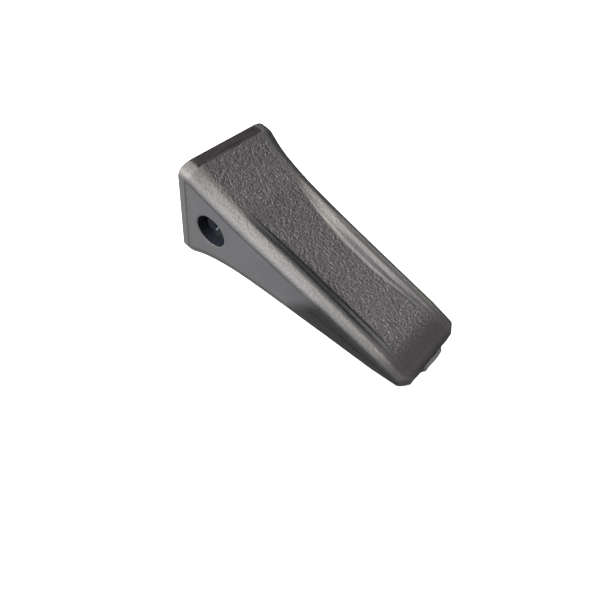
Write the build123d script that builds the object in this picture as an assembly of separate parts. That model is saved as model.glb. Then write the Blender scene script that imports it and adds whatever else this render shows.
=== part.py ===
"""Side-pin excavator bucket tooth: forged point, weld-on nose, locking pin, split ring and cushion.

Millimetres. +X runs towards the digging edge, +Y to the left, +Z up. The origin is the centre of the
nose's weld face. Lengths along the point are measured from its rear rim, so every shape is drawn with
x = 0 at the rim and moved forward by WELD_STANDOFF when it is written.
"""

from build123d import *
import os

# ---- driving dimensions -------------------------------------------------------------------------
WELD_STANDOFF = 14.0  # weld face to the point's rear rim

# the point's outside
BODY_LENGTH = 180.0  # rim to the start of the rounded digging edge
EDGE_LENGTH = 5.5  # rounded digging edge in front of the body
TIP_HALF_WIDTH = 29.8
TIP_HALF_HEIGHT = 5.85
SIDE_TAPER = 4.7  # half-width gained along the whole body
WEDGE_RISE = 27.7  # half-height gained along the whole body
FLARE_WIDTH = 4.0  # extra half-width of the flared box end
FLARE_WIDTH_POWER = 8
FLARE_HEIGHT = 10.4  # extra half-height of the flared box end
FLARE_HEIGHT_POWER = 7
TIP_BEVEL = 163.0  # the faces fall away faster in front of here
TIP_BEVEL_DROP = 1.45
CORNER_WIDTH = (4.3, 8.5)  # soft edge between face and side wall, across the face, at tip and at rim
CORNER_FLARE = 1.5  # extra width of that edge at the box end
CORNER_DROP = (2.8, 9.2)  # the same edge down the side wall
CORNER_DROP_MOST = 7.4
CORNER_HANDLE = 0.4  # 0 would be a straight bevel, 0.55 an ellipse
RIM_LAND = 9.2  # length of the flat land round the rim, top and bottom
RIM_LAND_SIDE = 5.7  # the same on the sides
EDGE_HALF_WIDTH = 24.0  # flat front of the digging edge
EDGE_HALF_HEIGHT = 1.5

# the sunk panel between the two ribs of the top and of the bottom face
CREST_WIDTH = (0.6, 2.9)  # flat top of a rib: where the panel starts, and further forwards
CREST_SPAN = (48.0, 92.0)
PANEL_DEPTH = 4.85
PANEL_REAR = (48.0, 105.0)  # the panel sinks to full depth between these
PANEL_FRONT = (112.0, 178.0)  # and comes up again between these
PANEL_RUN = (1.5, 4.8)  # sideways run from crest to panel: least, and how much full depth adds
UPPER_STEP = (2.2, 0.6)  # greatest depth, and greatest share of the panel's depth
LOWER_STEP = (1.6, 0.4)
STEP_RUN = (1.35, 0.95, 2.6)  # a step's run for its depth: at the rear, in the middle, in front
STEP_RUN_REAR = (75.0, 105.0)
STEP_RUN_FRONT = (125.0, 165.0)
LEAST_RUN = 0.2

# trimmed forging flash left standing in the middle of the digging edge
TAB_REACH = 2.5
TAB_WIDTH = 21.0
TAB_OFFSET = -0.5
TAB_THICKNESS = 2.6
TAB_RADIUS = 1.6
TAB_ROOT = 10.0

# nose: (distance from the rim, half-width, half-height)
NOSE_ROOT = (0.0, 26.5, 32.0)
NOSE_MID = (70.0, 20.5, 13.5)
NOSE_FRONT = (92.0, 19.5, 10.0)
NOSE_RADIUS = 5.0
NOSE_CHAMFER = 2.0
WELD_PREP = 11.0  # 45 degree bevel round the weld face
SOCKET_CLEARANCE = 0.4
SEAT_GAP = 0.15

# side-pin lock
PIN_X = 26.5  # pin axis to rim
PIN_DIAMETER = 21.0
PIN_LENGTH = 58.0
PIN_CHAMFER = 1.5
POINT_HOLE = 24.0
BORE_CLEARANCE = 0.1  # radial, in the nose
GROOVE_DIAMETER = 18.8
GROOVE_CENTRE = 19.0  # along +Y from the middle of the pin
GROOVE_WIDTH = 3.4
RING_THICKNESS = 3.0
RING_INNER = 19.2
RING_OUTER = 25.4
RING_GAP = 5.0
CUSHION_OUTER = 33.4
CUSHION_LIP = 21.8
CUSHION_CHANNEL = 26.0
CUSHION_THICKNESS = 5.6
COUNTERBORE = 34.0
COUNTERBORE_SPARE = 0.1


# ---- profiles of the point ----------------------------------------------------------------------
def fullness(x):
    """1 at the rim, 0 where the digging edge starts."""
    return 1.0 - x / BODY_LENGTH


def half_width(x):
    full = fullness(max(x, RIM_LAND_SIDE))
    return TIP_HALF_WIDTH + SIDE_TAPER * full + FLARE_WIDTH * full**FLARE_WIDTH_POWER


def half_height(x):
    full = fullness(max(x, RIM_LAND))
    bevel = TIP_BEVEL_DROP * share_of(x, (TIP_BEVEL, BODY_LENGTH))
    return TIP_HALF_HEIGHT + WEDGE_RISE * full + FLARE_HEIGHT * full**FLARE_HEIGHT_POWER - bevel


def between(ends, x):
    return ends[0] + (ends[1] - ends[0]) * fullness(x)


def corner_size(x):
    width = between(CORNER_WIDTH, x) + CORNER_FLARE * fullness(x) ** FLARE_WIDTH_POWER
    return width, min(between(CORNER_DROP, x), CORNER_DROP_MOST)


def share_of(x, span):
    """0 before the span, 1 after it, even between."""
    return min(max((x - span[0]) / (span[1] - span[0]), 0.0), 1.0)


def smooth_share(x, span):
    t = share_of(x, span)
    return t * t * (3.0 - 2.0 * t)


def panel_depth(x):
    opening = 1.0 - (1.0 - share_of(x, PANEL_REAR)) ** 2
    return PANEL_DEPTH * opening * (1.0 - smooth_share(x, PANEL_FRONT))


def panel_run(x):
    opening = 1.0 - (1.0 - share_of(x, PANEL_REAR)) ** 2
    return PANEL_RUN[0] + PANEL_RUN[1] * opening * (1.0 - share_of(x, PANEL_FRONT) ** 3)


def step_run(x):
    rear, middle, front = STEP_RUN
    run = rear + (middle - rear) * smooth_share(x, STEP_RUN_REAR)
    return run + (front - middle) * smooth_share(x, STEP_RUN_FRONT)


# ---- cross-sections -----------------------------------------------------------------------------
def crest_width(x):
    rear, front = CREST_WIDTH
    return rear + (front - rear) * smooth_share(x, CREST_SPAN)


def quadrant_points(x):
    """Rib and panel breakpoints of one quarter of the outside, from the side wall inwards."""
    width = half_width(x)
    height = half_height(x)
    depth = panel_depth(x)
    upper = min(UPPER_STEP[0], UPPER_STEP[1] * depth)
    lower = min(LOWER_STEP[0], LOWER_STEP[1] * depth)
    crest_taper = CREST_WIDTH[1] - crest_width(x)
    upper_run = LEAST_RUN + step_run(x) * upper + crest_taper
    lower_run = LEAST_RUN + step_run(x) * lower
    corner_y, corner_z = corner_size(x)
    crest = width - corner_y
    brink = crest - crest_width(x)
    foot = brink - crest_taper - panel_run(x) - 2.0 * LEAST_RUN
    return [
        (width, height - corner_z),
        (crest, height),
        (brink, height),
        (brink - upper_run, height - upper),
        (foot + lower_run, height - depth + lower),
        (foot, height - depth),
    ]


def outline(points, x):
    """Closed section at x: one quarter's points mirrored into all four, with soft corners."""
    (side_y, side_z), (crest_y, crest_z) = points[0], points[1]
    handle_z = side_z + CORNER_HANDLE * (crest_z - side_z)
    handle_y = crest_y + CORNER_HANDLE * (side_y - crest_y)
    curve = [(side_y, side_z), (side_y, handle_z), (handle_y, crest_z), (crest_y, crest_z)]
    edges = []
    last = None
    for sign_y, sign_z in ((1, 1), (-1, 1), (-1, -1), (1, -1)):
        placed = [(sign_y * y, sign_z * z) for y, z in points]
        corner = Bezier(*[(sign_y * y, sign_z * z) for y, z in curve])
        ribs = [Line(a, b) for a, b in zip(placed[1:], placed[2:])]
        inwards = sign_y == sign_z
        path = placed if inwards else placed[::-1]
        if last is not None:
            edges.append(Line(last, path[0]))
        edges += [corner] + ribs if inwards else ribs[::-1] + [corner]
        last = path[-1]
    edges.append(Line(last, points[0]))
    return Plane.YZ.offset(x) * make_face(edges)


def section(x):
    return outline(quadrant_points(x), x)


def edge_section():
    """Blunt front of the digging edge."""
    spread = [EDGE_HALF_WIDTH * share for share in (1.0, 0.88, 0.8, 0.75, 0.7, 0.65)]
    heights = [0.3 * EDGE_HALF_HEIGHT] + 5 * [EDGE_HALF_HEIGHT]
    return outline(list(zip(spread, heights)), BODY_LENGTH + EDGE_LENGTH)


def rounded_section(x, half_y, half_z, radius):
    return Plane.YZ.offset(x) * RectangleRounded(2.0 * half_y, 2.0 * half_z, radius)


def cross_cylinder(diameter, start_y, stop_y):
    """Cylinder along Y on the pin axis."""
    length = abs(stop_y - start_y)
    middle = (start_y + stop_y) / 2.0
    return Pos(PIN_X, middle, 0) * Rot(90, 0, 0) * Cylinder(diameter / 2.0, length)


# ---- sub-parts ----------------------------------------------------------------------------------
def tapered_core(clearance, front_gap, rear):
    """The nose's working taper, from `rear` to its front face, grown by a clearance."""
    stations = []
    for x, half_y, half_z in (NOSE_ROOT, NOSE_MID, NOSE_FRONT):
        stations.append([x, half_y + clearance, half_z + clearance])
    rear_share = (rear - NOSE_ROOT[0]) / (NOSE_MID[0] - NOSE_ROOT[0])
    for axis in (1, 2):
        stations[0][axis] += (stations[1][axis] - stations[0][axis]) * rear_share
    stations[0][0] = rear
    stations[2][0] += front_gap
    sections = [rounded_section(*station, NOSE_RADIUS) for station in stations]
    return loft(sections[:2], ruled=True) + loft(sections[1:], ruled=True)


def flash_tab():
    length = TAB_ROOT + EDGE_LENGTH + TAB_REACH
    centre_x = BODY_LENGTH - TAB_ROOT + length / 2.0
    plate = Pos(centre_x, TAB_OFFSET, 0) * Box(length, TAB_WIDTH, TAB_THICKNESS)
    front = plate.edges().filter_by(Axis.Z).sort_by(Axis.X)[-2:]
    return fillet(front, TAB_RADIUS)


def tooth_point():
    stations = (RIM_LAND, 16, 24, 34, 48, 56, 65, 75, 85, 95, 105, 112, 125, 135, 145, 155, TIP_BEVEL)
    body = loft([section(x) for x in stations])
    tip = loft([section(x) for x in (TIP_BEVEL, 171, 178, BODY_LENGTH)])
    rim_sections = [section(x) for x in (0.0, RIM_LAND_SIDE, RIM_LAND)]
    rim = loft(rim_sections[:2], ruled=True) + loft(rim_sections[1:], ruled=True)
    edge = loft([section(BODY_LENGTH), edge_section()], ruled=True)
    solid = body + rim + tip + edge + flash_tab()
    overcut = 1.0
    solid -= tapered_core(SOCKET_CLEARANCE, SEAT_GAP, -overcut)
    widest = half_width(0.0) + overcut
    return solid - cross_cylinder(POINT_HOLE, -widest, widest)


def adapter_nose():
    root_x, half_y, half_z = NOSE_ROOT
    prep_x = WELD_PREP - WELD_STANDOFF
    weld_face = rounded_section(-WELD_STANDOFF, half_y - WELD_PREP, half_z - WELD_PREP, NOSE_RADIUS)
    collar_rear = rounded_section(prep_x, half_y, half_z, NOSE_RADIUS)
    collar_front = rounded_section(root_x, half_y, half_z, NOSE_RADIUS)
    neck = loft([weld_face, collar_rear], ruled=True) + loft([collar_rear, collar_front], ruled=True)
    core = tapered_core(0.0, 0.0, root_x)
    core = chamfer(core.faces().sort_by(Axis.X)[-1].edges(), NOSE_CHAMFER)
    solid = neck + core
    bore = PIN_DIAMETER + 2.0 * BORE_CLEARANCE
    solid -= cross_cylinder(bore, -half_y, half_y)
    floor = GROOVE_CENTRE - CUSHION_THICKNESS / 2.0 - COUNTERBORE_SPARE
    return solid - cross_cylinder(COUNTERBORE, floor, half_y)


def side_pin():
    half = PIN_LENGTH / 2.0
    pin = cross_cylinder(PIN_DIAMETER, -half, half)
    pin = chamfer(pin.edges().filter_by(GeomType.CIRCLE), PIN_CHAMFER)
    near = GROOVE_CENTRE - GROOVE_WIDTH / 2.0
    far = GROOVE_CENTRE + GROOVE_WIDTH / 2.0
    waste = cross_cylinder(PIN_DIAMETER + 2.0, near, far) - cross_cylinder(GROOVE_DIAMETER, near, far)
    return pin - waste


def retainer_ring():
    near = GROOVE_CENTRE - RING_THICKNESS / 2.0
    far = GROOVE_CENTRE + RING_THICKNESS / 2.0
    ring = cross_cylinder(RING_OUTER, near, far) - cross_cylinder(RING_INNER, near - 1.0, far + 1.0)
    gap = Pos(PIN_X + RING_OUTER / 2.0, GROOVE_CENTRE, 0) * Box(RING_OUTER, RING_OUTER, RING_GAP)
    return ring - gap


def retainer_cushion():
    near = GROOVE_CENTRE - CUSHION_THICKNESS / 2.0
    far = GROOVE_CENTRE + CUSHION_THICKNESS / 2.0
    channel_near = GROOVE_CENTRE - GROOVE_WIDTH / 2.0
    channel_far = GROOVE_CENTRE + GROOVE_WIDTH / 2.0
    ring = cross_cylinder(CUSHION_OUTER, near, far) - cross_cylinder(CUSHION_LIP, near - 1.0, far + 1.0)
    return ring - cross_cylinder(CUSHION_CHANNEL, channel_near, channel_far)


NODES = {
    "tooth_point": tooth_point,
    "adapter_nose": adapter_nose,
    "side_pin": side_pin,
    "retainer_ring": retainer_ring,
    "retainer_cushion": retainer_cushion,
}

os.makedirs("parts", exist_ok=True)
for name, build in NODES.items():
    export_step(Pos(WELD_STANDOFF, 0, 0) * build(), f"parts/{name}.step")
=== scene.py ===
"""Looks for the excavator bucket tooth: high-resolution meshes and procedural materials round the CAD.

Shapes are worked out in millimetres, with x measured from the point's rear rim, and written in metres.
"""

import math

import bmesh
import bpy
import numpy as np
from mathutils import Matrix, Vector


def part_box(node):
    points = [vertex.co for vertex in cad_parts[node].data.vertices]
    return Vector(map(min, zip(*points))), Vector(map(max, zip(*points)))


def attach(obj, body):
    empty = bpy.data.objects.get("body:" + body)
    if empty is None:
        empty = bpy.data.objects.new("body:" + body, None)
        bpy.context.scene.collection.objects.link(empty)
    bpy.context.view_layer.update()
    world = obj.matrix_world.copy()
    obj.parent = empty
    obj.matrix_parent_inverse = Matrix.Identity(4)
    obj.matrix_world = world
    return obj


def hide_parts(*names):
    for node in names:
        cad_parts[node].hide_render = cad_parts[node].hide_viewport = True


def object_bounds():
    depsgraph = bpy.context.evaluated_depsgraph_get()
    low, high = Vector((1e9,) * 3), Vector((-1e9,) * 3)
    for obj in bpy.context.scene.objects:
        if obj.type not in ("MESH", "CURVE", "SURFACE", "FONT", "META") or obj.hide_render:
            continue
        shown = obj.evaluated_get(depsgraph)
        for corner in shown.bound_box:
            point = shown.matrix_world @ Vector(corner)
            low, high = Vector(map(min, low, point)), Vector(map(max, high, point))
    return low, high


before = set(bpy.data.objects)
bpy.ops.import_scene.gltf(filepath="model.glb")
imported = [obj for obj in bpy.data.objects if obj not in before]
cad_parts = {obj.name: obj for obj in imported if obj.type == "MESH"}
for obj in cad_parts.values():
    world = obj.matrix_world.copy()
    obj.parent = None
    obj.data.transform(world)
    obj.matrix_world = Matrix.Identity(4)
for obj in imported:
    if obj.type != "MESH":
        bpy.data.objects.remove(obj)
cad_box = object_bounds()

MM = 0.001
RIM_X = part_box("tooth_point")[0].x / MM  # the weld face is the origin, so this is the neck's length
PIN_LOW, PIN_HIGH = (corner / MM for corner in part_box("side_pin"))
RING_LOW, RING_HIGH = (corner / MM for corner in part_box("retainer_ring"))
CUSHION_LOW, CUSHION_HIGH = (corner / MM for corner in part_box("retainer_cushion"))
PIN_X = (PIN_LOW.x + PIN_HIGH.x) / 2.0 - RIM_X
PIN_RADIUS = (PIN_HIGH.x - PIN_LOW.x) / 2.0
LOCK_Y = (CUSHION_LOW.y + CUSHION_HIGH.y) / 2.0  # middle of the ring, the cushion and the pin's groove

# the point's outside, as in the CAD
BODY_LENGTH = 180.0
EDGE_LENGTH = 5.5
TIP_HALF_WIDTH = 29.8
TIP_HALF_HEIGHT = 5.85
SIDE_TAPER = 4.7
WEDGE_RISE = 27.7
FLARE_WIDTH = 4.0
FLARE_WIDTH_POWER = 8
FLARE_HEIGHT = 10.4
FLARE_HEIGHT_POWER = 7
TIP_BEVEL = 163.0
TIP_BEVEL_DROP = 1.45
CORNER_WIDTH = (4.3, 8.5)  # at the tip, and at the rim
CORNER_FLARE = 1.5
CORNER_DROP = (2.8, 9.2)  # at the tip, and at the rim
CORNER_DROP_MOST = 7.4
CORNER_DROP_SHARE = 0.75  # of the half-height, at the most
RIM_LAND = 9.2  # length of the land on the top and bottom
RIM_LAND_SIDE = 5.7
CORNER_POWER = (1.27, 1.0)  # along the body, and at the rim: 1 is an ellipse, 2 a straight bevel
CORNER_POWER_SPAN = (RIM_LAND_SIDE, 24.0)
RIM_EDGE = 0.7  # radius of the worn rim edge
EDGE_HALF_WIDTH = 24.0
EDGE_HALF_HEIGHT = 1.3
EDGE_SWEEP = 1.4  # power of the digging edge's corners, seen from above
CREST_WIDTH = (0.6, 2.9)  # where the panel starts, and from CREST_SPAN's end forwards
CREST_SPAN = (48.0, 92.0)
PANEL_DEPTH = 4.85
PANEL_REAR = (48.0, 105.0)
PANEL_FRONT = (112.0, 178.0)
PANEL_RUN = (1.9, 4.8)
UPPER_STEP = (2.2, 0.6)  # deepest, and as a share of the panel's depth
LOWER_STEP = (1.6, 0.4)
STEP_RUN = (1.35, 0.95, 2.6)  # run over rise: at the rear, in the middle, at the front
STEP_RUN_REAR = (75.0, 105.0)
STEP_RUN_FRONT = (125.0, 165.0)
TAB_REACH = 2.5
TAB_WIDTH = 21.0
TAB_OFFSET = -0.5
POINT_HOLE_RADIUS = 12.0

# forging detail that the CAD leaves out
PANEL_WANDER = 0.3
PANEL_SOFTENING = 0.3
CREASE_SHADE_DEPTH = 2.5  # panel depth that would make the painted shade line at its foot full
CREASE_SHADE_MOST = 0.8
FRONT_SET_BACK = 0.4
FRONT_SKEW = 0.04  # per millimetre of width
FRONT_WAVE = 0.18
FRONT_WAVE_TURN = 0.43  # radians per millimetre
FRONT_EASE = 4.0  # how far behind the digging edge its uneven line begins
FLASH_REACH = 0.45
FLASH_ROOT = 0.95  # thickness, as a share of the digging edge's
FLASH_THINNING = 0.35
TAB_LEFT = (2.0, 2.4)  # how far the tab's side slopes, before and after its nominal place
TAB_RIGHT = (2.6, 1.2)
SEAM_FADE = (84.0, 112.0)
SEAM_SET_BACK = 0.35
PARTING_HEIGHT = 0.16
STRIP_LINE = RIM_LAND_SIDE + 0.6  # groove in front of the rim's strip on the side walls
STRIP_LINE_DEPTH = 0.4
HOLE_ROLL_REACH = 1.4
HOLE_ROLL_DEPTH = 0.7
LAND_HALF_WIDTH = (27.0, 29.2)  # where the ground land fades out towards the corners
TIP_SMOOTH = (164.0, 178.0)
TIP_DARK = (160.0, 176.0)

# uneven surfaces: layers of noise as (height, cell, seed)
PANEL_GRAIN = ((0.08, 2.6, 11), (0.2, 1.15, 12))
BODY_WAVES = ((0.1, 22.0, 13),)
BODY_SAND = ((0.03, 3.0, 15), (0.03, 1.2, 17))
LAND_RAGGED = ((0.35, 3.0, 21), (0.25, 1.2, 22))
CAST_GRAIN = ((0.05, 2.2, 31), (0.04, 1.2, 32), (0.05, 12.0, 33))
PIT_DEPTH = 0.32
LUMP_HEIGHT = 0.2
CAST_LOSS = 0.12

# burnish of the ribs with painted sheen, from 0 to 1
BURNISH_AND_SHEEN = (0.3, 0.7)  # on the rounded corner, and the painted highlight that its upper part adds
SHEEN_UP = (0.32, 0.85)  # shares of the corner's width between which the painted highlight grows
BURNISH_AND_SHEEN_FALL = 0.65  # lost inside the crest
BURNISH_AND_SHEEN_SPARE = 2.5  # how much further inside it lasts towards the rim
BURNISH_AND_SHEEN_SPARE_SPAN = (25.0, 60.0)
BURNISH_AND_SHEEN_RIM = 0.45  # what the corner's lower part gains at the rim
BURNISH_AND_SHEEN_RIM_SPAN = (6.0, 26.0)
FAR_RIB_SHADE = 0.65  # painted shade: share lost on the outside of the +Y rib's rear half, which faces away from the light
FAR_RIB_SHADE_SPAN = (70.0, 95.0)
FAR_RIB_FLANK_LIGHT = 0.6  # painted light: how much less it loses on its inside, which faces the light
FAR_RIB_FLANK_LIGHT_SPAN = (75.0, 105.0)
TAB_BURNISH = 0.6
TAB_PALER = 0.9  # share of the tip's darkness that the trimmed tab lacks

# the nose and its socket: (distance from the rim, half-width, half-height)
NOSE_ROOT = (0.0, 26.5, 32.0)
NOSE_MID = (70.0, 20.5, 13.5)
NOSE_FRONT = (92.0, 19.5, 10.0)
NOSE_RADIUS = 5.0
NOSE_CHAMFER = 2.0
WELD_PREP = 11.0
SOCKET_CLEARANCE = 0.4
SEAT_GAP = 0.15
BORE_CLEARANCE = 0.1
COUNTERBORE_RADIUS = 17.0
COUNTERBORE_SPARE = 0.1
COUNTERBORE_EASE = 0.6
MOUTH_EASE = 0.5  # rounding of the socket's mouth, and how deep it reaches
MOUTH_EASE_DEPTH = 1.2
SCALLOP_STEP = 1.5  # grinding marks on the weld preparation
SCALLOP_DEPTH = 0.05

# the lock
PIN_CHAMFER = 1.5
PIN_DIMPLE = ((0.4, 2.6), (1.2, 1.9), (2.6, 0.25), (3.2, 0.0))  # centre drilling: (radius, depth)
GROOVE_RADIUS = 9.4
GROOVE_WIDTH = 3.4
RING_INNER_RADIUS = 9.6
RING_GAP = 5.0
CUSHION_LIP_RADIUS = 10.9
CUSHION_CHANNEL_RADIUS = 13.0

# mesh resolution: columns in one quarter of a ring, spacing of the rows, and turned parts
SIDE_COLUMNS = 40
CORNER_COLUMNS = 24
FACE_COLUMNS = 68
FACE_CROWDING = 1.3  # gathers the face columns towards the ribs
ROW_STEP = 0.52
NOSE_ROW_STEP = 0.5
SOCKET_ROWS = (60, 20)
TURN_STEPS = 144
CURVE_POINTS = 5


# ---- small maths --------------------------------------------------------------------------------
def rise(values, start, stop):
    """0 before start, 1 after stop, smooth between; works on arrays."""
    t = np.clip((np.asarray(values, float) - start) / (stop - start), 0.0, 1.0)
    return t * t * (3.0 - 2.0 * t)


def rise_between(values, start, stop):
    """rise() with a start and a stop for every value."""
    return rise((values - start) / (stop - start), 0.0, 1.0)


def share_of(values, span):
    """0 before the span, 1 after it, even between."""
    return np.clip((np.asarray(values, float) - span[0]) / (span[1] - span[0]), 0.0, 1.0)


def bell(values, centre, width):
    """1 at the centre, fading to 0 within about two widths on both sides."""
    return np.exp(-(((values - centre) / width) ** 2))


def fullness(x):
    """1 at the rim, 0 at the front of the body."""
    return 1.0 - np.asarray(x, float) / BODY_LENGTH


def between(ends, x):
    """Value at x of a pair given at the tip and at the rim."""
    return ends[0] + (ends[1] - ends[0]) * fullness(x)


def half_width(x):
    full = fullness(np.maximum(x, RIM_LAND_SIDE))
    return TIP_HALF_WIDTH + SIDE_TAPER * full + FLARE_WIDTH * full**FLARE_WIDTH_POWER


def half_height(x):
    full = fullness(np.maximum(x, RIM_LAND))
    bevel = TIP_BEVEL_DROP * share_of(x, (TIP_BEVEL, BODY_LENGTH))
    return TIP_HALF_HEIGHT + WEDGE_RISE * full + FLARE_HEIGHT * full**FLARE_HEIGHT_POWER - bevel


def panel_depth(x):
    opening = 1.0 - (1.0 - share_of(x, PANEL_REAR)) ** 2
    return PANEL_DEPTH * opening * (1.0 - rise(x, *PANEL_FRONT))


def crest_width(x):
    return CREST_WIDTH[0] + (CREST_WIDTH[1] - CREST_WIDTH[0]) * rise(x, *CREST_SPAN)


def panel_run(x):
    opening = 1.0 - (1.0 - share_of(x, PANEL_REAR)) ** 2
    return PANEL_RUN[0] + PANEL_RUN[1] * opening * (1.0 - share_of(x, PANEL_FRONT) ** 3)


def step_run(x):
    rear, middle, front = STEP_RUN
    run = rear + (middle - rear) * rise(x, *STEP_RUN_REAR)
    return run + (front - middle) * rise(x, *STEP_RUN_FRONT)


def lattice_noise(points, cell, seed):
    """Smooth noise in -1..1 from a seeded lattice, cell millimetres apart."""
    size = 64
    lattice = np.random.RandomState(seed).uniform(-1.0, 1.0, (size, size, size))
    place = points / cell
    base = np.floor(place).astype(int)
    share = place - base
    share = share * share * (3.0 - 2.0 * share)
    total = np.zeros(points.shape[:-1])
    for corner in np.ndindex(2, 2, 2):
        weight = np.ones(points.shape[:-1])
        for axis, step in enumerate(corner):
            weight = weight * (share[..., axis] if step else 1.0 - share[..., axis])
        index = (base + np.array(corner)) % size
        total += weight * lattice[index[..., 0], index[..., 1], index[..., 2]]
    return total


def uneven(points, layers):
    """Sum of noise layers, each given as (height, cell, seed)."""
    return sum(height * lattice_noise(points, cell, seed) for height, cell, seed in layers)


# ---- rings and sweeps ---------------------------------------------------------------------------
def quarter_shares():
    """Column positions of one quarter: along the side, round the corner, across the face."""
    side = np.linspace(0.0, 1.0, SIDE_COLUMNS, endpoint=False)
    corner = np.linspace(0.0, 1.0, CORNER_COLUMNS, endpoint=False)
    face = np.linspace(0.0, 1.0, FACE_COLUMNS + 1) ** FACE_CROWDING
    return side, corner, face


def ring_grid(x, half_y, half_z, corner_y, corner_z, corner_power=1.0):
    """(rows, columns, 3) points round rounded rectangles, one row per station."""
    side, corner, face = quarter_shares()
    x, half_y, half_z, corner_y, corner_z = np.broadcast_arrays(x, half_y, half_z, corner_y, corner_z)
    sizes = (np.array(v, float).reshape(-1, 1) for v in (half_y, half_z, corner_y, corner_z))
    half_y, half_z, corner_y, corner_z = sizes
    angle = corner * math.pi / 2.0
    flat_y = half_y - corner_y
    flat_z = half_z - corner_z
    corner_out = flat_y + corner_y * np.cos(angle) ** corner_power
    corner_up = flat_z + corner_z * np.sin(angle) ** corner_power
    y = np.hstack([half_y + 0.0 * side, corner_out, flat_y * (1.0 - face)])
    z = np.hstack([flat_z * side, corner_up, half_z + 0.0 * face])
    quarter = np.stack([y, z], axis=-1)
    upper_left = (quarter * (-1.0, 1.0))[:, -2::-1]
    upper = np.concatenate([quarter, upper_left], axis=1)
    lower = (upper * (1.0, -1.0))[:, -2:0:-1]
    ring = np.concatenate([upper, lower], axis=1)
    along = np.repeat(np.array(x, float).reshape(-1, 1, 1), ring.shape[1], axis=1)
    return np.concatenate([along, ring], axis=-1)


def grid_normals(grid):
    """Outward normals of a grid of rings that runs along +X."""
    along = np.gradient(grid, axis=0)
    around = np.roll(grid, -1, axis=1) - np.roll(grid, 1, axis=1)
    normal = np.cross(around, along)
    return normal / np.maximum(np.linalg.norm(normal, axis=-1, keepdims=True), 1e-9)


def mesh_object(name, vertices, faces):
    """Object from millimetre vertices, with its faces turned outwards."""
    mesh = bpy.data.meshes.new(name)
    mesh.from_pydata(((vertices + (RIM_X, 0.0, 0.0)) * MM).tolist(), [], faces)
    obj = bpy.data.objects.new(name, mesh)
    bpy.context.scene.collection.objects.link(obj)
    edit = bmesh.new()
    edit.from_mesh(mesh)
    bmesh.ops.recalc_face_normals(edit, faces=edit.faces)
    edit.to_mesh(mesh)
    edit.free()
    return obj


def grid_object(name, grid, layers):
    """Closed mesh of a grid of rings, each end zipped shut between its upper and lower halves."""
    rows, columns = grid.shape[:2]
    row = np.arange(rows - 1)[:, None] * columns
    left = np.arange(columns)[None, :]
    right = (left + 1) % columns
    walls = np.stack([row + left, row + right, row + columns + right, row + columns + left], -1)
    faces = walls.reshape(-1, 4).tolist()
    half = columns // 2
    top = np.arange(half)
    for start in (0, (rows - 1) * columns):
        zip_quads = np.stack([top, top + 1, columns - top - 1, (columns - top) % columns], -1)
        faces += (zip_quads[1:-1] + start).tolist()
        faces.append([start, start + 1, start + columns - 1])
        faces.append([start + half, start + half + 1, start + half - 1])
    obj = mesh_object(name, grid.reshape(-1, 3), faces)
    for layer, values in layers.items():
        attribute = obj.data.attributes.new(layer, "FLOAT", "POINT")
        attribute.data.foreach_set("value", values.astype(np.float32).ravel())
    return obj


def revolve(name, profile, loop=False, opening=0.0):
    """Turns (radius, y) points about the pin axis; an opening leaves a gap of that many radians at +X."""
    profile = np.array(profile, float)
    steps = TURN_STEPS
    turn = opening / 2.0 + np.linspace(0.0, 2.0 * math.pi - opening, steps, endpoint=opening > 0.0)
    x = PIN_X + np.outer(profile[:, 0], np.cos(turn))
    y = np.repeat(profile[:, 1:2], steps, axis=1)
    z = np.outer(profile[:, 0], np.sin(turn))
    vertices = np.stack([x, y, z], axis=-1).reshape(-1, 3)
    rows = len(profile)
    faces = []
    for row in range(rows if loop else rows - 1):
        here = row * steps
        following = (row + 1) % rows * steps
        for step in range(steps - 1 if opening else steps):
            other = (step + 1) % steps
            faces.append((here + step, here + other, following + other, following + step))
    if opening:
        faces += [[row * steps + end for row in range(rows)] for end in (0, steps - 1)]
    elif not loop:
        faces += [list(range(steps)), list(range((rows - 1) * steps, rows * steps))]
    return mesh_object(name, vertices, faces)


def rounded(corners, radius, loop=False):
    """Replaces the inner corners of a (radius, y) outline with short curves."""
    corners = [np.array(c, float) for c in corners]
    count = len(corners)
    points = []
    for index, corner in enumerate(corners):
        if not loop and index in (0, count - 1):
            points.append(corner)
            continue
        before = corners[index - 1] - corner
        after = corners[(index + 1) % count] - corner
        reach = min(radius, 0.45 * np.linalg.norm(before), 0.45 * np.linalg.norm(after))
        start = corner + before / np.linalg.norm(before) * reach
        stop = corner + after / np.linalg.norm(after) * reach
        for t in np.linspace(0.0, 1.0, CURVE_POINTS):
            points.append((1 - t) ** 2 * start + 2 * t * (1 - t) * corner + t**2 * stop)
    return points


def cut(obj, cutter):
    """Subtracts cutter from obj and deletes it."""
    modifier = obj.modifiers.new("cut", "BOOLEAN")
    modifier.operation = "DIFFERENCE"
    modifier.solver = "MANIFOLD"
    modifier.object = cutter
    bpy.context.view_layer.update()
    evaluated = obj.evaluated_get(bpy.context.evaluated_depsgraph_get())
    cut_mesh = bpy.data.meshes.new_from_object(evaluated)
    obj.modifiers.clear()
    obj.data = cut_mesh
    bpy.data.objects.remove(cutter)


def finish_surface(obj, material, sharp_degrees):
    obj.data.polygons.foreach_set("use_smooth", [True] * len(obj.data.polygons))
    obj.data.set_sharp_from_angle(angle=math.radians(sharp_degrees))
    obj.data.materials.clear()
    obj.data.materials.append(material)
    obj.data.update()


# ---- the point ----------------------------------------------------------------------------------
def front_line(y):
    """How far the digging edge runs ahead of or behind its nominal front, across the width."""
    return FRONT_WAVE * np.sin(FRONT_WAVE_TURN * y + 1.0) - FRONT_SET_BACK - FRONT_SKEW * y


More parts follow.
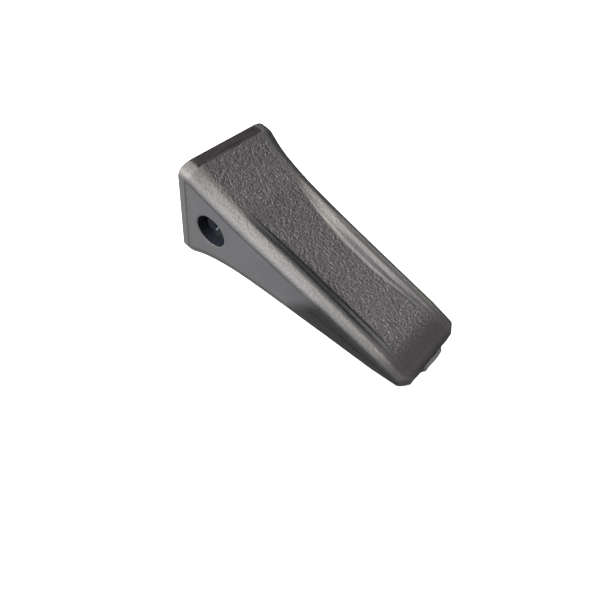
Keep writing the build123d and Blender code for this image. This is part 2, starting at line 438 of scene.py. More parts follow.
def tab_reach(y):
    """Reach of the flash ahead of the digging edge: a thin fin, and the trimmed tab near the middle."""
    left = TAB_OFFSET - TAB_WIDTH / 2.0
    right = TAB_OFFSET + TAB_WIDTH / 2.0
    tab = rise(y, left - TAB_LEFT[0], left + TAB_LEFT[1])
    tab = tab * (1.0 - rise(y, right - TAB_RIGHT[0], right + TAB_RIGHT[1]))
    return FLASH_REACH + (TAB_REACH - FLASH_REACH) * tab


def outer_rows():
    """Outside of the point from the rim to the flash line."""
    rim_turn = np.linspace(0.0, math.pi / 2.0, 6, endpoint=False)
    tip_turn = np.linspace(0.0, math.pi / 2.0, 16)
    rim = RIM_EDGE * (1.0 - np.cos(rim_turn))
    body = np.arange(RIM_EDGE, BODY_LENGTH, ROW_STEP)
    x = np.concatenate([rim, body, BODY_LENGTH + EDGE_LENGTH * np.sin(tip_turn)])
    inset = np.zeros(len(x))
    inset[: len(rim)] = RIM_EDGE * (1.0 - np.sin(rim_turn))
    held = np.minimum(x, BODY_LENGTH)
    to_front = (x - held) / EDGE_LENGTH
    half_y = half_width(held) - inset
    half_z = half_height(held) - inset
    half_y += (EDGE_HALF_WIDTH - half_y) * to_front**EDGE_SWEEP
    half_z += (EDGE_HALF_HEIGHT - half_z) * (1.0 - np.sqrt(1.0 - to_front**2))
    corner_y = between(CORNER_WIDTH, held) + CORNER_FLARE * fullness(held) ** FLARE_WIDTH_POWER
    corner_z = np.minimum(between(CORNER_DROP, held), CORNER_DROP_MOST)
    corner_z = np.minimum(corner_z, CORNER_DROP_SHARE * half_z)
    at_rim = 1.0 - rise(x, *CORNER_POWER_SPAN)
    power = CORNER_POWER[0] + (CORNER_POWER[1] - CORNER_POWER[0]) * at_rim[:, None]
    grid = ring_grid(x, half_y, half_z, corner_y, corner_z, power)
    return x, grid, half_y, half_z, corner_y, corner_z


def rib_section(x):
    """Fall of the face below a rib's crest: (distance inboard of the crest's outer edge, depth)."""
    depth = float(panel_depth(x))
    run = float(panel_run(x))
    upper = min(UPPER_STEP[0], UPPER_STEP[1] * depth)
    lower = min(LOWER_STEP[0], LOWER_STEP[1] * depth)
    brink = float(crest_width(x))
    foot = CREST_WIDTH[1] + run
    upper_run = float(step_run(x)) * upper + CREST_WIDTH[1] - brink
    lower_run = float(step_run(x)) * lower
    return np.array(
        [
            (brink - 1.0, 0.0),
            (brink, 0.12 * upper),
            (brink + 0.3 * upper_run, 0.42 * upper),
            (brink + upper_run, upper),
            (foot - lower_run, depth - lower),
            (foot, depth),
        ]
    )


def sink_panel(x, grid, half_y, corner_y):
    """Sinks the face between the ribs; returns where the panel is, and the painted shade along its foot
    creases.
    """
    along = grid * (1.0, 0.0, 0.0)
    wander = PANEL_WANDER * lattice_noise(along + (0.0, 7.0, 0.0), 14.0, 3)
    inboard = (half_y - corner_y)[:, None] - np.abs(grid[..., 1])
    panel = np.zeros(inboard.shape)
    crease_shade = np.zeros(inboard.shape)
    for row, station in enumerate(x):
        breaks = rib_section(min(station, BODY_LENGTH))
        across = inboard[row] + wander[row]
        nearby = (across - PANEL_SOFTENING, across, across + PANEL_SOFTENING)
        depths = [np.interp(place, breaks[:, 0], breaks[:, 1]) for place in nearby]
        grid[row, :, 2] -= np.sign(grid[row, :, 2]) * np.mean(depths, axis=0)
        foot, depth = breaks[-1]
        panel[row] = rise(across, foot - 0.4, foot + 0.4)
        # painted shade along the panel's foot, stronger where the panel is deeper
        crease_shade[row] = bell(across, foot - 0.2, 0.8) * min(depth / CREASE_SHADE_DEPTH, CREASE_SHADE_MOST)
    flat_rear = 1.0 - rise(x, PANEL_REAR[0] - 2.0, PANEL_REAR[0] + 6.0)[:, None]
    return np.maximum(panel, flat_rear * rise(inboard, 1.0, 4.0)), crease_shade


def seam_relief(grid, seam_z):
    """Relief of the side walls: set back under the corner, a groove by the rim, a parting line."""
    station = grid[..., 0]
    height = np.abs(grid[..., 2])
    below = 1.0 - rise(height, seam_z - 0.8, seam_z - 0.1)
    set_back = SEAM_SET_BACK * (1.0 - rise(station, *SEAM_FADE)) * rise(station, RIM_LAND_SIDE, RIM_LAND)
    groove = STRIP_LINE_DEPTH * bell(station, STRIP_LINE, 0.6)
    parting = PARTING_HEIGHT * (1.0 - rise(height, 0.5, 1.1)) * rise(station, 44.0, 60.0)
    return parting - (set_back + groove) * below


def forge_surface(grid, panel, half_z, corner_z):
    """Forging relief: pitted panel, slightly wavy ribs, seams, and a rolled edge round the hole."""
    station = grid[..., 0]
    body = rise(station, RIM_LAND - 0.5, RIM_LAND + 0.8) * (1.0 - rise(station, *TIP_SMOOTH))
    rough = panel * body
    normal = grid_normals(grid)
    on_side = np.abs(normal[..., 1]) > 0.8
    pits = np.clip(lattice_noise(grid, 1.9, 14) - 0.3, 0.0, 1.0)
    lumps = np.clip(lattice_noise(grid, 3.4, 16) - 0.2, 0.0, 1.0)
    relief = rough * (uneven(grid, PANEL_GRAIN) + LUMP_HEIGHT * lumps - PIT_DEPTH * pits)
    relief += uneven(grid, BODY_WAVES) * body
    relief += uneven(grid, BODY_SAND) * rise(station, 1.0, 3.0)
    relief += seam_relief(grid, (half_z - corner_z)[:, None]) * on_side
    from_hole = np.hypot(station - PIN_X, grid[..., 2])
    rolled = np.clip(1.0 - (from_hole - POINT_HOLE_RADIUS) / HOLE_ROLL_REACH, 0.0, 1.0)
    relief -= HOLE_ROLL_DEPTH * rolled**2 * on_side
    return grid + normal * relief[..., None], rough


def flash_rows(last):
    """Thin flash round the digging edge, with the trimmed tab in its middle."""
    reach = tab_reach(last[:, 1])
    rows = []
    for share in np.linspace(0.15, 1.0, 9):
        row = last.copy()
        row[:, 0] += reach * share
        row[:, 2] *= FLASH_ROOT - FLASH_THINNING * share**4
        rows.append(row)
    return np.array(rows)


def socket_rows(mouth):
    """From the rim's outer edge across its flat face, then down the tapered socket to its floor."""
    stations = []
    corners = np.array([NOSE_ROOT, NOSE_MID, NOSE_FRONT])
    for here, there, count in zip(corners, corners[1:], SOCKET_ROWS):
        stations += [here + (there - here) * k / count for k in range(count)]
    stations = np.array(stations + [corners[-1]])
    half_y = stations[:, 1] + SOCKET_CLEARANCE
    half_z = stations[:, 2] + SOCKET_CLEARANCE
    depth = stations[:, 0].copy()
    depth[-1] += SEAT_GAP
    ease = MOUTH_EASE * np.clip(1.0 - depth / MOUTH_EASE_DEPTH, 0.0, 1.0) ** 2
    inner = ring_grid(depth, half_y + ease, half_z + ease, NOSE_RADIUS, NOSE_RADIUS)
    lip = [mouth + (inner[0] - mouth) * share for share in np.linspace(0.0, 1.0, 8)[1:-1]]
    floor = [inner[-1] * (1.0, share, share) for share in (0.8, 0.5, 0.2)]
    return np.array(lip), inner, np.array(floor)


def land_mask(grid):
    """Where the flat land round the rim is ground bare: top and bottom, short of the corners."""
    ragged = uneven(grid, LAND_RAGGED)
    out = np.abs(grid[..., 1]) + 2.0 * ragged
    ground = 1.0 - rise(grid[..., 0] + ragged, RIM_LAND - 0.5, RIM_LAND + 0.1)
    facing = np.abs(grid[..., 2]) > half_height(RIM_LAND) - 2.0
    return ground * (1.0 - rise(out, *LAND_HALF_WIDTH)) * facing


def side_shade_lines(grid, seam_z):
    """Painted shade lines on the side walls: under the corner's seam, and in front of the rim's side strip.
    """
    station = grid[..., 0]
    height = np.abs(grid[..., 2])
    seam = bell(height, seam_z - 0.9, 1.1)
    seam *= rise(station, RIM_LAND_SIDE, RIM_LAND) * (1.0 - rise(station, *SEAM_FADE))
    strip = bell(station, STRIP_LINE, 0.5)
    strip *= 1.0 - rise(height, seam_z - 0.5, seam_z + 2.5)
    return np.maximum(seam, strip)


def rib_burnish_and_sheen(half_y, corner_y, grid, panel):
    """Burnish of the ribs with painted sheen: most on the upper part of the rounded corner, where a painted
    highlight sits, less below it and inside it.

    It is wider towards the rim. On the rear half of the +Y rib, painted shade dims the outside, which faces
    away from the light, and painted light keeps the inside, which faces it, lighter.
    """
    station = grid[..., 0]
    inward = half_y[:, None] - np.abs(grid[..., 1])
    crest_start = corner_y[:, None]
    crest_stop = crest_start + BURNISH_AND_SHEEN_SPARE * (1.0 - rise(station, *BURNISH_AND_SHEEN_SPARE_SPAN))
    # painted highlight on the upper part of each rounded corner
    up = rise_between(inward, SHEEN_UP[0] * crest_start, SHEEN_UP[1] * crest_start)
    down = rise_between(inward, crest_stop - 0.3, crest_stop + 1.2)
    at_rim = BURNISH_AND_SHEEN_RIM * (1.0 - rise(station, *BURNISH_AND_SHEEN_RIM_SPAN)) * (1.0 - up)
    far_side = rise(grid[..., 1], -5.0, 5.0)
    # painted shade on the outside of the +Y rib's rear half, which faces away from the light
    far_rib_shade = far_side * (1.0 - rise(station, *FAR_RIB_SHADE_SPAN)) * (1.0 - down)
    outside = (BURNISH_AND_SHEEN[0] + at_rim + BURNISH_AND_SHEEN[1] * up) * (1.0 - FAR_RIB_SHADE * far_rib_shade)
    # painted light: the inside of the +Y rib's rear half, which faces the light, loses less
    fall = BURNISH_AND_SHEEN_FALL - FAR_RIB_FLANK_LIGHT * far_side * (1.0 - rise(station, *FAR_RIB_FLANK_LIGHT_SPAN))
    return rise(inward, -0.5, 1.5) * (outside - fall * down) * (1.0 - panel)


def build_point():
    x, grid, half_y, half_z, corner_y, corner_z = outer_rows()
    land = land_mask(grid)
    panel, crease_shade = sink_panel(x, grid, half_y, corner_y)
    rib = rib_burnish_and_sheen(half_y, corner_y, grid, panel)
    # painted shade in the panel's foot creases and along the side walls' seam and strip lines
    crease_shade = np.maximum(crease_shade, side_shade_lines(grid, (half_z - corner_z)[:, None]))
    grid, rough = forge_surface(grid, panel, half_z, corner_z)
    edge = rise(x, BODY_LENGTH - FRONT_EASE, BODY_LENGTH + EDGE_LENGTH)[:, None]
    grid[..., 0] += front_line(grid[..., 1]) * edge
    flash = flash_rows(grid[-1])
    lip, inner, floor = socket_rows(grid[0])
    rows = np.concatenate([floor[::-1], inner[::-1], lip[::-1], grid, flash])
    hidden = len(floor) + len(inner) + len(lip)
    tip = np.repeat(rise(x, *TIP_DARK)[:, None], grid.shape[1], axis=1)
    around = ((hidden, len(flash)), (0, 0))
    looks = {"rough": rough, "rib": rib, "land": land, "crease_shade": crease_shade}
    layers = {name: np.pad(values, around) for name, values in looks.items()}
    layers["tip"] = np.pad(tip, around, constant_values=((0.0, 1.0), (0.0, 0.0)))
    trimmed = share_of(tab_reach(flash[..., 1]), (1.0, TAB_REACH))
    layers["tip"][-len(flash):] -= TAB_PALER * trimmed
    layers["rib"][-len(flash):] += TAB_BURNISH * trimmed
    obj = grid_object("point_forging", rows, layers)
    reach = 2.0 * half_y.max()
    cut(obj, revolve("drill", [(POINT_HOLE_RADIUS, -reach), (POINT_HOLE_RADIUS, reach)]))
    finish_surface(obj, forged_steel(), 40.0)
    return obj


# ---- the nose -----------------------------------------------------------------------------------
def nose_rows():
    """Stations down the weld-on nose, with its edges eased."""
    root_y, root_z = NOSE_ROOT[1:]
    front_x, front_y, front_z = NOSE_FRONT
    outline = [
        (-RIM_X, root_y - WELD_PREP, root_z - WELD_PREP),
        (WELD_PREP - RIM_X, root_y, root_z),
        NOSE_ROOT,
        NOSE_MID,
        (front_x - NOSE_CHAMFER, front_y, front_z),
        (front_x, front_y - NOSE_CHAMFER, front_z - NOSE_CHAMFER),
    ]
    outline = np.array(outline)
    x = np.arange(-RIM_X, front_x + NOSE_ROW_STEP / 2.0, NOSE_ROW_STEP)
    x[-1] = front_x
    half_y = np.interp(x, outline[:, 0], outline[:, 1])
    half_z = np.interp(x, outline[:, 0], outline[:, 2])
    ease = np.array([1.0, 2.0, 1.0]) / 4.0
    for half in (half_y, half_z):
        half[1:-1] = np.convolve(half, ease, "valid")
    return x, half_y, half_z


def build_nose():
    x, half_y, half_z = nose_rows()
    grid = ring_grid(x, half_y, half_z, NOSE_RADIUS, NOSE_RADIUS)
    station = grid[..., 0]
    prep_end = WELD_PREP - RIM_X
    cast = rise(station, prep_end - 0.3, prep_end + 0.8) * (1.0 - rise(station, x[-1] - 3.0, x[-1] - 1.5))
    skin = uneven(grid, CAST_GRAIN) - CAST_LOSS
    scallops = SCALLOP_DEPTH * np.sin(station * 2.0 * math.pi / SCALLOP_STEP) * (station < 0.0)
    scallops *= (1.0 - cast) * rise(station, -RIM_X, 1.0 - RIM_X)
    shaped = grid + grid_normals(grid) * (cast * skin + scallops)[..., None]
    caps = [shaped[0] * (1.0, share, share) for share in (0.3, 0.6)]
    tips = [shaped[-1] * (1.0, share, share) for share in (0.6, 0.3)]
    rows = np.concatenate([caps, shaped, tips])
    prep = np.pad(1.0 - cast, ((len(caps), len(tips)), (0, 0)), constant_values=1.0)
    obj = grid_object("nose_casting", rows, {"prep": prep})
    bore = PIN_RADIUS + BORE_CLEARANCE
    reach = 2.0 * NOSE_ROOT[1]
    floor = CUSHION_LOW.y - COUNTERBORE_SPARE
    pocket = [
        (COUNTERBORE_RADIUS - COUNTERBORE_EASE, floor),
        (COUNTERBORE_RADIUS, floor + COUNTERBORE_EASE),
        (COUNTERBORE_RADIUS, reach),
    ]
    cut(obj, revolve("bore", [(bore, -reach), (bore, reach)]))
    cut(obj, revolve("counterbore", pocket))
    finish_surface(obj, nose_steel(), 35.0)
    return obj


# ---- the lock -----------------------------------------------------------------------------------
def build_pin():
    """Turned pin: chamfered ends with centre-drill dimples, and the ring's groove near one end."""
    end = PIN_DIMPLE + ((PIN_RADIUS - PIN_CHAMFER, 0.0), (PIN_RADIUS, PIN_CHAMFER))
    low_end = [(radius, PIN_LOW.y + depth) for radius, depth in end]
    high_end = [(radius, PIN_HIGH.y - depth) for radius, depth in end]
    near = LOCK_Y - GROOVE_WIDTH / 2.0
    far = LOCK_Y + GROOVE_WIDTH / 2.0
    groove = [(PIN_RADIUS, near), (GROOVE_RADIUS, near), (GROOVE_RADIUS, far), (PIN_RADIUS, far)]
    obj = revolve("lock_pin", rounded(low_end + groove + high_end[::-1], 0.3))
    finish_surface(obj, pin_steel(), 35.0)
    return obj


def build_ring():
    """Split spring ring of rounded square wire."""
    outer = (RING_HIGH.z - RING_LOW.z) / 2.0
    corners = [
        (RING_INNER_RADIUS, RING_LOW.y),
        (outer, RING_LOW.y),
        (outer, RING_HIGH.y),
        (RING_INNER_RADIUS, RING_HIGH.y),
    ]
    opening = 2.0 * math.asin(RING_GAP / 2.0 / ((RING_INNER_RADIUS + outer) / 2.0))
    obj = revolve("split_ring", rounded(corners, 0.7, loop=True), loop=True, opening=opening)
    finish_surface(obj, spring_steel(), 50.0)
    return obj


def build_cushion():
    """Rubber ring with soft edges and the channel that holds the split ring."""
    outer = (CUSHION_HIGH.z - CUSHION_LOW.z) / 2.0
    near = LOCK_Y - GROOVE_WIDTH / 2.0
    far = LOCK_Y + GROOVE_WIDTH / 2.0
    corners = [
        (CUSHION_LIP_RADIUS, CUSHION_LOW.y),
        (outer, CUSHION_LOW.y),
        (outer, CUSHION_HIGH.y),
        (CUSHION_LIP_RADIUS, CUSHION_HIGH.y),
        (CUSHION_LIP_RADIUS, far),
        (CUSHION_CHANNEL_RADIUS, far),
        (CUSHION_CHANNEL_RADIUS, near),
        (CUSHION_LIP_RADIUS, near),
    ]
    obj = revolve("rubber_cushion", rounded(corners, 0.6, loop=True), loop=True)
    finish_surface(obj, cushion_rubber(), 50.0)
    return obj


# ---- materials ----------------------------------------------------------------------------------
NOISE_ROUGHNESS = 0.55


class Nodes:
    """Short calls for building one material's node tree; noise scales are per metre."""

    def __init__(self, name):
        self.material = bpy.data.materials.new(name)
        self.material.use_nodes = True
        self.tree = self.material.node_tree
        self.shader = self.tree.nodes["Principled BSDF"]
        self.place = self.tree.nodes.new("ShaderNodeTexCoord").outputs["Object"]

    def put(self, socket, value):
        if isinstance(value, bpy.types.NodeSocket):
            self.tree.links.new(value, socket)
        else:
            socket.default_value = value

    def node(self, kind, result, inputs, **settings):
        made = self.tree.nodes.new(kind)
        for key, value in settings.items():
            setattr(made, key, value)
        for key, value in inputs.items():
            self.put(made.inputs[key], value)
        return made.outputs[result]

    def noise(self, scale, detail=3.0, stretch=None):
        place = self.place
        if stretch:
            place = self.node("ShaderNodeMapping", 0, {"Vector": place, "Scale": stretch})
        inputs = {"Vector": place, "Scale": scale, "Detail": detail, "Roughness": NOISE_ROUGHNESS}
        return self.node("ShaderNodeTexNoise", 0, inputs)

    def from_pin(self):
        """Distance from the pin's axis."""
        centre = ((PIN_X + RIM_X) * MM, 0.0, 0.0)
        offset = self.node("ShaderNodeVectorMath", 0, {0: self.place, 1: centre}, operation="SUBTRACT")
        across = self.node("ShaderNodeVectorMath", 0, {0: offset, 1: (1.0, 0.0, 1.0)}, operation="MULTIPLY")
        return self.node("ShaderNodeVectorMath", "Value", {0: across}, operation="LENGTH")

    def turning(self, scale):
        """Noise that runs round the pin axis, like lathe marks, on flats and on cylinders alike."""
        along = self.node("ShaderNodeSeparateXYZ", 1, {0: self.place})
        place = self.maths("ADD", self.from_pin(), along)
        inputs = {"W": place, "Scale": scale, "Detail": 2.0}
        return self.node("ShaderNodeTexNoise", 0, inputs, noise_dimensions="1D")

    def ramp(self, value, low, high, out_low=0.0, out_high=1.0):
        inputs = {0: value, 1: low, 2: high, 3: out_low, 4: out_high}
        return self.node("ShaderNodeMapRange", 0, inputs)

    def layer(self, name):
        return self.node("ShaderNodeAttribute", "Fac", {}, attribute_name=name)

    def worn(self, low, high):
        """1 on sharp convex edges, 0 elsewhere."""
        return self.ramp(self.node("ShaderNodeNewGeometry", "Pointiness", {}), low, high)

    def maths(self, operation, a, b):
        return self.node("ShaderNodeMath", 0, {0: a, 1: b}, operation=operation)

    def mix(self, share, a, b):
        """Mixes two colours, which are a mix node's inputs 6 and 7."""
        inputs = {0: share, 6: a, 7: b}
        return self.node("ShaderNodeMix", 2, inputs, data_type="RGBA")

    def blend(self, share, a, b):
        """Mixes two plain numbers, which are a mix node's inputs 2 and 3."""
        return self.node("ShaderNodeMix", 0, {0: share, 2: a, 3: b}, data_type="FLOAT")

    def bump(self, height, strength, distance, after=None):
        inputs = {"Height": height, "Strength": strength, "Distance": distance}
        if after is not None:
            inputs["Normal"] = after
        return self.node("ShaderNodeBump", 0, inputs)

    def output(self, **values):
        for key, value in values.items():
            self.put(self.shader.inputs[key.replace("_", " ")], value)
        return self.material


def grey(level, tint=(1.0, 1.0, 1.0)):
    return tuple(level * t for t in tint) + (1.0,)


WARM = (1.05, 1.0, 0.93)
COOL = (0.99, 0.98, 1.06)
PLUM = (1.05, 0.97, 1.02)
RUSTY = (1.08, 0.96, 0.98)
NAVY = (0.75, 0.92, 1.3)

# pairs are a colour's two ends, which noise mixes
SCALE = (grey(0.1, COOL), grey(0.11, COOL))
PANEL_SCALE = grey(0.165, PLUM)
BLOTCH = grey(0.12, PLUM)
# pale colour of the ribs' burnish and of their painted sheen
BURNISH_AND_SHEEN_COLOUR = grey(0.29, WARM)
# painted glints: pale specks on the pitted panel where facets catch the light
SPECK_GLINT = grey(0.32)
# painted shade for the panel's foot creases and the side walls' seam lines
CREASE_SHADE = grey(0.045, PLUM)
TIP_SCALE = grey(0.095, PLUM)
GROUND = (grey(0.28, RUSTY), grey(0.5, RUSTY))
# painted shade inside the pin hole, tinted navy
BORE_SHADE = grey(0.03, NAVY)
BORE_SHADE_START = (0.01, 0.06)  # how far outside the hole's radius the hole's painted shade ends, and the body's colour starts
CAST_SKIN = (grey(0.06, WARM), grey(0.1, WARM))
CAST_RUST = (0.14, 0.075, 0.045, 1.0)
PREP = (grey(0.15, COOL), grey(0.22, COOL))
PREP_RUST = (0.2, 0.12, 0.08, 1.0)
OXIDE = (grey(0.03, NAVY), grey(0.055, NAVY))
OXIDE_SMEAR = grey(0.08, WARM)
PIN_EDGE = grey(0.4)
SPRING = (grey(0.2, WARM), grey(0.32, WARM))
SPRING_EDGE = grey(0.55)
RUBBER = (grey(0.012), grey(0.035, WARM))
CARD = grey(0.02)
FLOOR = (grey(0.5), grey(0.9))  # as it lights the object, and as the camera sees it


def forged_steel():
    """Dark forging scale: pitted panel with painted glints, burnished ribs with painted sheen and painted
    shade, painted shade in the creases and inside the pin hole, ground land round the rim, smoother dark
    tip.
    """
    n = Nodes("forged_steel")
    rough, rib, land, crease_shade, tip = (n.layer(name) for name in ("rough", "rib", "land", "crease_shade", "tip"))
    cloud = n.noise(38.0, 4.0)
    blotch = n.noise(170.0, 5.0)
    grain = n.noise(750.0, 4.0)
    colour = n.mix(n.ramp(cloud, 0.35, 0.65), *SCALE)
    colour = n.mix(rough, colour, PANEL_SCALE)
    colour = n.mix(n.ramp(blotch, 0.5, 0.75, 0.0, 0.5), colour, BLOTCH)
    # painted sheen: the ribs' burnish and their painted highlight, with grain
    pale = n.maths("MULTIPLY", rib, n.ramp(grain, 0.3, 0.7, 0.55, 1.15))
    colour = n.mix(pale, colour, BURNISH_AND_SHEEN_COLOUR)
    # painted glints on the pitted panel
    speck_glint = n.maths("MULTIPLY", rough, n.ramp(grain, 0.52, 0.7))
    colour = n.mix(speck_glint, colour, SPECK_GLINT)
    # painted shade in the creases and along the seam lines
    colour = n.mix(n.maths("MULTIPLY", crease_shade, 0.9), colour, CREASE_SHADE)
    colour = n.mix(n.maths("MULTIPLY", tip, 0.8), colour, TIP_SCALE)
    streaks = n.noise(900.0, 3.0, (1.0, 0.08, 1.0))
    ground = n.mix(n.ramp(streaks, 0.35, 0.65), *GROUND)
    colour = n.mix(land, colour, ground)
    # painted shade inside the pin hole
    bore_shade_end, body_start = ((POINT_HOLE_RADIUS + past) * MM for past in BORE_SHADE_START)
    colour = n.mix(n.ramp(n.from_pin(), bore_shade_end, body_start, 1.0, 0.0), colour, BORE_SHADE)
    gloss = n.blend(rib, n.ramp(grain, 0.3, 0.7, 0.46, 0.58), n.ramp(grain, 0.3, 0.7, 0.5, 0.6))
    gloss = n.blend(tip, gloss, 0.5)
    gloss = n.blend(land, gloss, 0.38)
    metal = n.blend(land, n.blend(rib, 0.3, 0.1), 1.0)
    fine = n.bump(n.noise(1100.0, 3.0), n.ramp(rough, 0.0, 1.0, 0.45, 0.8), 0.4 * MM)
    sand = n.maths("MAXIMUM", rough, n.maths("MULTIPLY", rib, 0.5))
    normal = n.bump(n.noise(620.0, 3.0), n.ramp(sand, 0.0, 1.0, 0.25, 1.0), 0.8 * MM, fine)
    return n.output(Base_Color=colour, Metallic=metal, Roughness=gloss, Normal=normal)


def nose_steel():
    """Cast steel with a brown-black skin, and flame-cut, ground weld preparation faces."""
    n = Nodes("nose_steel")
    prep = n.layer("prep")
    grain = n.noise(700.0, 5.0)
    rust = n.ramp(n.noise(90.0, 6.0), 0.52, 0.7)
    skin = n.mix(n.ramp(grain, 0.35, 0.65), *CAST_SKIN)
    skin = n.mix(n.maths("MULTIPLY", rust, 0.5), skin, CAST_RUST)
    streaks = n.noise(2200.0, 3.0, (1.0, 1.0, 0.05))
    bright = n.mix(n.ramp(streaks, 0.35, 0.65), *PREP)
    bright = n.mix(n.maths("MULTIPLY", rust, 0.35), bright, PREP_RUST)
    normal = n.bump(grain, n.ramp(prep, 0.0, 1.0, 0.5, 0.08), 0.4 * MM)
    normal = n.bump(streaks, n.ramp(prep, 0.0, 1.0, 0.0, 0.25), 0.3 * MM, normal)
    return n.output(
        Base_Color=n.mix(prep, skin, bright),
        Metallic=n.blend(prep, 0.2, 0.4),
        Roughness=n.blend(prep, 0.62, 0.6),
        Normal=normal,
    )


def pin_steel():
    """Turned steel under black oxide, rubbed bright on its edges."""
    n = Nodes("pin_steel")
    marks = n.turning(2600.0)
    smears = n.noise(120.0, 4.0)
    colour = n.mix(n.ramp(marks, 0.3, 0.7), *OXIDE)
    colour = n.mix(n.ramp(smears, 0.5, 0.75), colour, OXIDE_SMEAR)
    colour = n.mix(n.worn(0.55, 0.62), colour, PIN_EDGE)
    gloss = n.ramp(smears, 0.3, 0.7, 0.3, 0.45)
    return n.output(Base_Color=colour, Metallic=0.85, Roughness=gloss, Normal=n.bump(marks, 0.3, 0.2 * MM))


def spring_steel():
    """Phosphated spring wire."""
    n = Nodes("spring_steel")
    grain = n.noise(1500.0, 3.0)
    marks = n.turning(3500.0)
    colour = n.mix(n.ramp(grain, 0.3, 0.7), *SPRING)
    colour = n.mix(n.worn(0.54, 0.6), colour, SPRING_EDGE)
    return n.output(Base_Color=colour, Metallic=0.9, Roughness=0.42, Normal=n.bump(marks, 0.2, 0.2 * MM))


def cushion_rubber():
    """Moulded black rubber with a chalky bloom."""
    n = Nodes("cushion_rubber")
    bloom = n.ramp(n.noise(220.0, 5.0), 0.45, 0.75)
    grain = n.noise(2600.0, 2.0)
    colour = n.mix(bloom, *RUBBER)
    gloss = n.ramp(grain, 0.3, 0.7, 0.6, 0.8)
    return n.output(Base_Color=colour, Roughness=gloss, Normal=n.bump(grain, 0.25, 0.2 * MM))


# ---- stage --------------------------------------------------------------------------------------
KEY_DIRECTION = (-0.28, -0.82, 0.46)
KEY_SPREAD = 20.0
KEY_STRENGTH = 3.9
KEY_COLOUR = (1.0, 0.99, 0.98)
FILL_DIRECTION = (-0.75, 0.65, 0.1)
FILL_SPREAD = 60.0
FILL_STRENGTH = 0.35
FILL_COLOUR = (0.97, 0.98, 1.0)
GLOW_DIRECTION = (-0.3, -0.6, 0.74)
GLOW_EDGE = 0.74  # cosine of the angle at which the glow has faded out
GLOW_LEVEL = 1.9
SKY_LEVEL = 0.06
FLOOR_REACH = 6.0  # metres
FLOOR_GLOW = 1.2
FLAG_GAP = 22.0  # from the side wall
FLAG_TOP = ((90.0, 0.0), (110.0, 23.5), (190.0, 16.0))  # (from the rim, height)
FLAG_FOOT = 20.0  # clear of the floor, so the floor still lights the side wall a little


def pale_floor():
    turns = ((-1.0, -1.0), (1.0, -1.0), (1.0, 1.0), (-1.0, 1.0))
    corners = [(FLOOR_REACH * x, FLOOR_REACH * y, cad_box[0].z) for x, y in turns]
    mesh = bpy.data.meshes.new("floor")
    mesh.from_pydata(corners, [], [(0, 1, 2, 3)])
    floor = bpy.data.objects.new("floor", mesh)
    bpy.context.scene.collection.objects.link(floor)
    n = Nodes("floor")
    seen = n.node("ShaderNodeLightPath", "Is Camera Ray", {})
    mesh.materials.append(
        n.output(
            Base_Color=n.mix(seen, *FLOOR),
            Roughness=0.8,
            Emission_Color=grey(1.0),
            Emission_Strength=n.maths("MULTIPLY", seen, FLOOR_GLOW),
        )
    )


def soft_sun(name, direction, spread_degrees, strength, colour, glossy=True):
    data = bpy.data.lights.new(name, "SUN")
    data.angle = math.radians(spread_degrees)
    data.energy = strength
    data.color = colour
    light = bpy.data.objects.new(name, data)
    bpy.context.scene.collection.objects.link(light)
    light.visible_glossy = glossy
    light.rotation_mode = "QUATERNION"
    light.rotation_quaternion = Vector(direction).to_track_quat("Z", "Y")


def glowing_sky():
    """Dim all round, with a wide soft glow high on the -Y side; the camera sees it as plain white."""
    world = bpy.data.worlds.new("studio")
    world.use_nodes = True
    nodes = world.node_tree.nodes
    links = world.node_tree.links
    place = nodes.new("ShaderNodeTexCoord")
    towards = nodes.new("ShaderNodeVectorMath")
    towards.operation = "DOT_PRODUCT"
    towards.inputs[1].default_value = Vector(GLOW_DIRECTION).normalized()
    lobe = nodes.new("ShaderNodeMapRange")
    lobe.interpolation_type = "SMOOTHSTEP"
    for socket, value in zip(lobe.inputs[1:5], (GLOW_EDGE, 1.0, SKY_LEVEL, GLOW_LEVEL)):
        socket.default_value = value
    links.new(place.outputs["Generated"], towards.inputs[0])
    links.new(towards.outputs["Value"], lobe.inputs[0])
    backdrop = nodes.new("ShaderNodeMix")
    backdrop.inputs[3].default_value = 1.0
    links.new(nodes.new("ShaderNodeLightPath").outputs["Is Camera Ray"], backdrop.inputs[0])
    links.new(lobe.outputs[0], backdrop.inputs[2])
    links.new(backdrop.outputs[0], nodes["Background"].inputs["Strength"])
    nodes["Background"].inputs["Color"].default_value = grey(1.0)
    bpy.context.scene.world = world


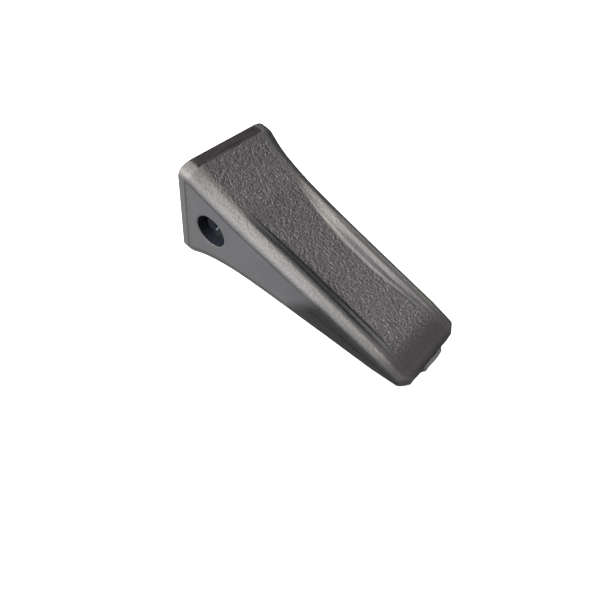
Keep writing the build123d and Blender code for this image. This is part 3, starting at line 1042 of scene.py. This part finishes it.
def dark_flag():
    """Unseen dark card beside the front half; keeps the light off that side wall."""
    low = cad_box[0].z
    side = -(TIP_HALF_WIDTH + FLAG_GAP) * MM
    mesh = bpy.data.meshes.new("flag")
    top = [((x + RIM_X) * MM, side, z * MM) for x, z in FLAG_TOP]
    foot = [(x, y, low + FLAG_FOOT * MM) for x, y, z in top]
    mesh.from_pydata(top + foot[::-1], [], [tuple(range(2 * len(top)))])
    flag = bpy.data.objects.new("flag", mesh)
    bpy.context.scene.collection.objects.link(flag)
    mesh.materials.append(Nodes("flag").output(Base_Color=CARD, Roughness=0.9))
    flag.visible_camera = False


def studio():
    dark_flag()
    soft_sun("key", KEY_DIRECTION, KEY_SPREAD, KEY_STRENGTH, KEY_COLOUR)
    soft_sun("fill", FILL_DIRECTION, FILL_SPREAD, FILL_STRENGTH, FILL_COLOUR, glossy=False)
    glowing_sky()
    bpy.context.scene.view_settings.view_transform = "Standard"


CAMERA_PLACE = (193.6, -178.0, 257.3)  # from the rim's centre
CAMERA_AZIMUTH = 31.25
CAMERA_ELEVATION = 55.93
CAMERA_ROLL = 14.13
CAMERA_LENS = 30.0


def photo_camera():
    data = bpy.data.cameras.new("camera")
    data.lens = CAMERA_LENS
    data.clip_start = 0.01
    camera = bpy.data.objects.new("camera", data)
    bpy.context.scene.collection.objects.link(camera)
    turn = math.radians(CAMERA_AZIMUTH)
    lift = math.radians(CAMERA_ELEVATION)
    back = Vector((math.sin(turn) * math.cos(lift), -math.cos(turn) * math.cos(lift), math.sin(lift)))
    place = Vector(CAMERA_PLACE) + Vector((RIM_X, 0.0, 0.0))
    upright = back.to_track_quat("Z", "Y").to_matrix().to_4x4()
    roll = Matrix.Rotation(math.radians(CAMERA_ROLL), 4, "Z")
    camera.matrix_world = Matrix.Translation(place * MM) @ upright @ roll
    bpy.context.scene.camera = camera


PIECES = {
    "tooth_point": (build_point, "point", "forged_steel"),
    "adapter_nose": (build_nose, "nose", "nose_steel"),
    "side_pin": (build_pin, "pin", "pin_steel"),
    "retainer_ring": (build_ring, "nose", "spring_steel"),
    "retainer_cushion": (build_cushion, "nose", "cushion_rubber"),
}
for node, (build, body, slot) in PIECES.items():
    piece = build()
    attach(piece, body)
    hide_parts(node)

pale_floor()
studio()
photo_camera()
